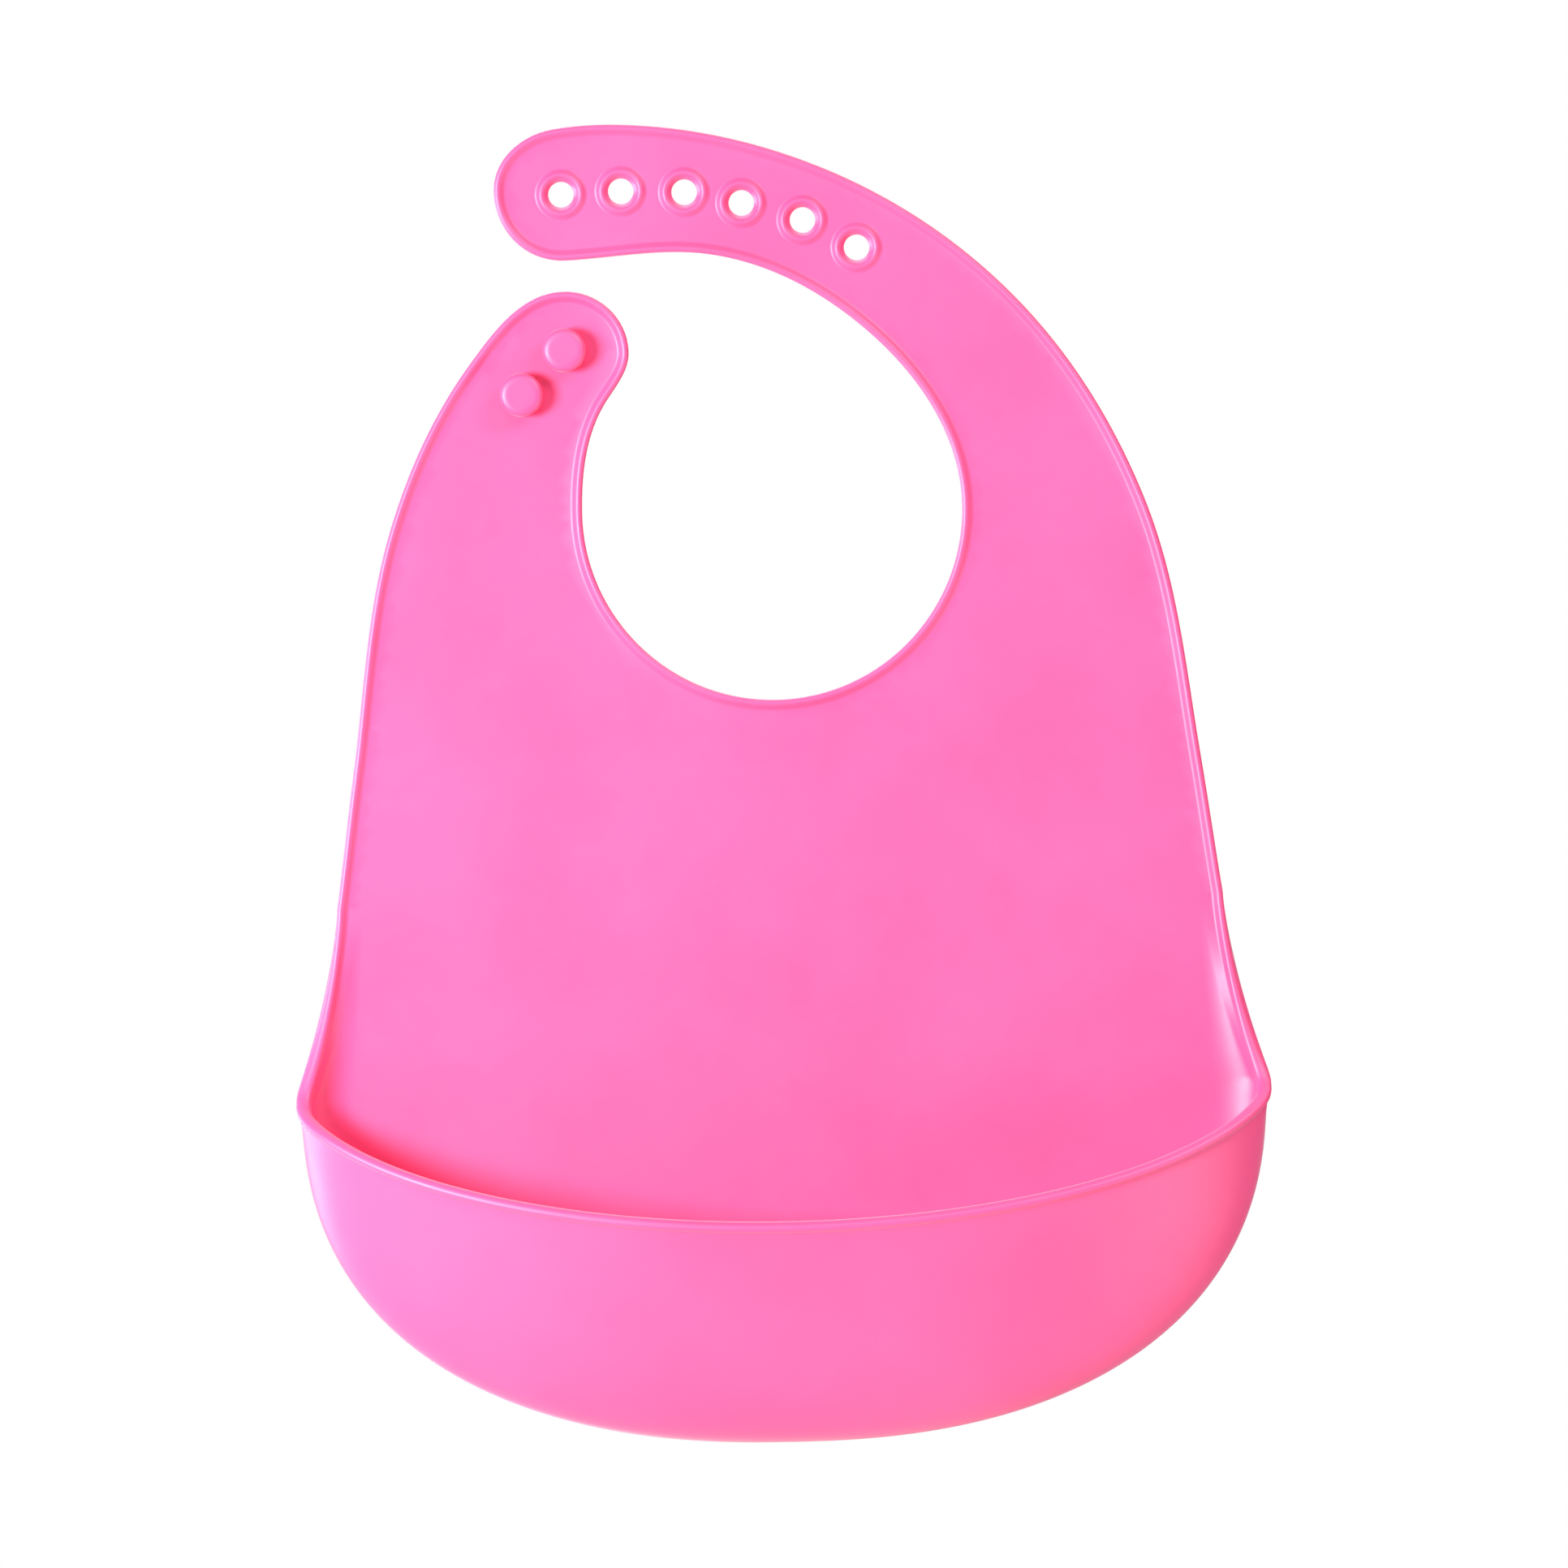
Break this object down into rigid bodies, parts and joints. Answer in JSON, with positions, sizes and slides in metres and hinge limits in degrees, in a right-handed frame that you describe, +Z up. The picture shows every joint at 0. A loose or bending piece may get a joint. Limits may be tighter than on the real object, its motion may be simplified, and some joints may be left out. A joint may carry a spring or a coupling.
{
  "type": "silicone bib",
  "caption": "Silicone baby bib with a wide crumb-catcher pocket, a long curved strap with collared holes and a short studded tab.",
  "frame": {"origin": "centre of the neck opening, on the flat back plane", "axes": "+Z up towards the strap, +Y out of the back towards the wearer, +X to the right seen from the front; the front and the pocket face -Y"},
  "size_m": [0.23, 0.0445, 0.3105],
  "materials": {
    "silicone": "matte moulded silicone, soft sheen"
  },
  "bodies": {
    "chest_panel": {"chest_sheet": "silicone", "chest_lip_right": "silicone", "chest_lip_neck": "silicone", "chest_lip_left": "silicone"},
    "strap_1": {"strap_sheet_1": "silicone", "strap_lip_outer_1": "silicone", "strap_lip_inner_1": "silicone"},
    "strap_2": {"strap_sheet_2": "silicone", "strap_lip_outer_2": "silicone", "strap_lip_inner_2": "silicone"},
    "strap_3": {"strap_sheet_3": "silicone", "strap_lip_outer_3": "silicone", "strap_lip_inner_3": "silicone"},
    "strap_4": {"strap_sheet_4": "silicone", "strap_lip_outer_4": "silicone", "strap_lip_inner_4": "silicone", "hole_collar_6": "silicone", "hole_collar_5": "silicone"},
    "strap_5": {"strap_sheet_5": "silicone", "strap_lip_outer_5": "silicone", "strap_lip_inner_5": "silicone", "hole_collar_1": "silicone", "hole_collar_2": "silicone", "hole_collar_3": "silicone", "hole_collar_4": "silicone"},
    "tab_1": {"tab_sheet_1": "silicone", "tab_lip_outer_1": "silicone", "tab_lip_inner_1": "silicone"},
    "tab_2": {"tab_sheet_2": "silicone", "tab_lip_outer_2": "silicone", "tab_lip_inner_2": "silicone", "stud_upper": "silicone", "stud_lower": "silicone"},
    "mid_panel": {"mid_sheet": "silicone", "mid_lip_right": "silicone", "mid_lip_left": "silicone"},
    "lower_panel": {"lower_sheet": "silicone", "wing_right": "silicone", "wing_left": "silicone", "wing_lip_right": "silicone", "wing_lip_left": "silicone"},
    "pocket": {"pocket_trough": "silicone", "pocket_front": "silicone", "pocket_rim_lip": "silicone"}
  },
  "joints": [
    {"name": "long_strap_curl", "type": "hinge", "parent": "chest_panel", "child": "strap_1", "pos_m": [0.067, -0.001, -0.008], "axis": [-0.9962, 0, -0.0872], "range_deg": [-10, 28], "stiffness_Nm_per_rad": 0.05},
    {"name": "long_strap_curl_2", "type": "hinge", "parent": "strap_1", "child": "strap_2", "pos_m": [0.062, -0.001, 0.017], "axis": [-0.9063, 0, -0.4226], "range_deg": [-10, 28], "stiffness_Nm_per_rad": 0.05},
    {"name": "long_strap_curl_3", "type": "hinge", "parent": "strap_2", "child": "strap_3", "pos_m": [0.049, -0.001, 0.038], "axis": [-0.766, 0, -0.6428], "range_deg": [-10, 28], "stiffness_Nm_per_rad": 0.05},
    {"name": "long_strap_curl_4", "type": "hinge", "parent": "strap_3", "child": "strap_4", "pos_m": [0.031, -0.001, 0.0545], "axis": [-0.6157, 0, -0.788], "range_deg": [-10, 28], "stiffness_Nm_per_rad": 0.05},
    {"name": "long_strap_curl_5", "type": "hinge", "parent": "strap_4", "child": "strap_5", "pos_m": [0.0014, -0.001, 0.0702], "axis": [-0.2756, 0, -0.9613], "range_deg": [-10, 28], "stiffness_Nm_per_rad": 0.05},
    {"name": "short_strap_curl", "type": "hinge", "parent": "chest_panel", "child": "tab_1", "pos_m": [-0.0675, -0.001, -0.01], "axis": [-0.9962, 0, 0.0872], "range_deg": [-10, 30], "stiffness_Nm_per_rad": 0.05},
    {"name": "short_strap_curl_2", "type": "hinge", "parent": "tab_1", "child": "tab_2", "pos_m": [-0.064, -0.001, 0.011], "axis": [-0.9659, 0, 0.2588], "range_deg": [-10, 30], "stiffness_Nm_per_rad": 0.05},
    {"name": "panel_fold", "type": "hinge", "parent": "chest_panel", "child": "mid_panel", "pos_m": [0, -0.001, -0.058], "axis": [-1, 0, 0], "range_deg": [-12, 40], "stiffness_Nm_per_rad": 0.2},
    {"name": "panel_fold_2", "type": "hinge", "parent": "mid_panel", "child": "lower_panel", "pos_m": [0, -0.001, -0.086], "axis": [-1, 0, 0], "range_deg": [-12, 40], "stiffness_Nm_per_rad": 0.2},
    {"name": "pocket_flex", "type": "hinge", "parent": "lower_panel", "child": "pocket", "pos_m": [0, -0.001, -0.2061], "axis": [1, 0, 0], "range_deg": [-8, 18], "stiffness_Nm_per_rad": 0.15}
  ],
  "couplings": [
    {"joint": "long_strap_curl_2", "follows": "long_strap_curl", "ratio": 1},
    {"joint": "long_strap_curl_3", "follows": "long_strap_curl", "ratio": 1},
    {"joint": "long_strap_curl_4", "follows": "long_strap_curl", "ratio": 1},
    {"joint": "long_strap_curl_5", "follows": "long_strap_curl", "ratio": 1},
    {"joint": "short_strap_curl_2", "follows": "short_strap_curl", "ratio": 1},
    {"joint": "panel_fold_2", "follows": "panel_fold", "ratio": 1}
  ]
}
